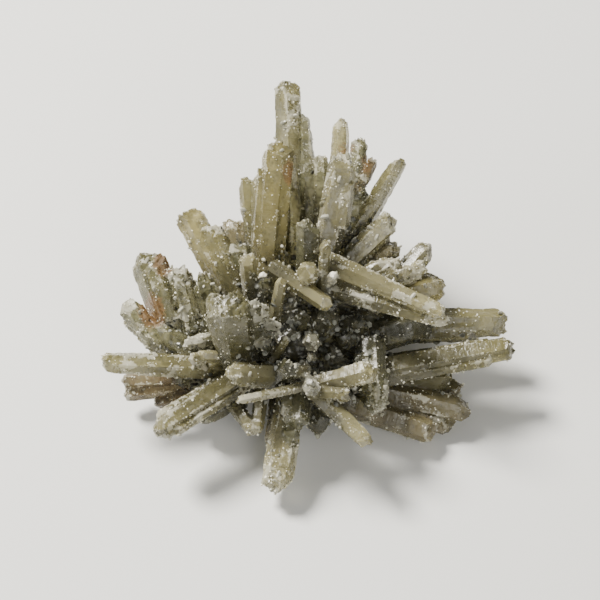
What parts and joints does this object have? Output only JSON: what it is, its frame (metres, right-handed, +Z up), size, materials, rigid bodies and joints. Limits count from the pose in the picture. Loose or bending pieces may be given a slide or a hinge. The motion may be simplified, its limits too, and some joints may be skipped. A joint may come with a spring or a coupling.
{
  "type": "radiating quartz cluster",
  "caption": "Spray of intergrown smoky quartz crystals radiating from one broken root that ends in a flat break to rest on.",
  "frame": {"origin": "on the flat break, straight below the point that the crystals radiate from", "axes": "+Z up from the flat break, +X to the right across the open face, +Y away from the viewer, towards the tallest crystal"},
  "size_m": [0.0766, 0.0718, 0.0364],
  "materials": {
    "smoky_quartz": "translucent, etched and frosted, with white sugary dust"
  },
  "bodies": {
    "root": {"quartz_cluster": "smoky_quartz"}
  },
  "joints": []
}
